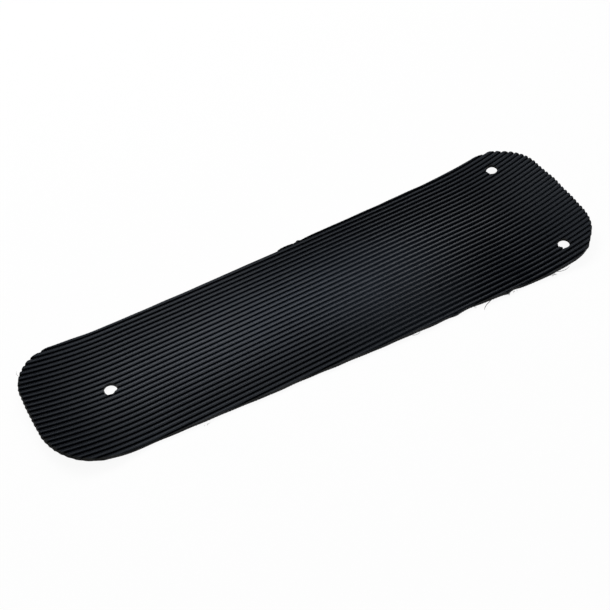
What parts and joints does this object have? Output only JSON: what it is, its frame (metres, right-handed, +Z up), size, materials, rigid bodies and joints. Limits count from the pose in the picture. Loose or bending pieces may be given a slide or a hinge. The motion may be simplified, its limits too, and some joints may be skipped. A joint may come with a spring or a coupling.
{
  "type": "footrest rubber pad",
  "caption": "Tapered strip of fine lengthwise-ribbed black rubber with rounded corners, curled ends and three punched fixing holes, for a footrest board",
  "frame": {"origin": "middle of the flat underside that the pad rests on, halfway along the pad's length", "axes": "X along the ribs from the narrow to the wide end, Y across the ribs towards the far edge, Z up out of the ribbed side"},
  "size_m": [0.3397, 0.0995, 0.0127],
  "materials": {
    "ribbed_rubber": "satin"
  },
  "bodies": {
    "root": {"pad": "ribbed_rubber"}
  },
  "joints": []
}
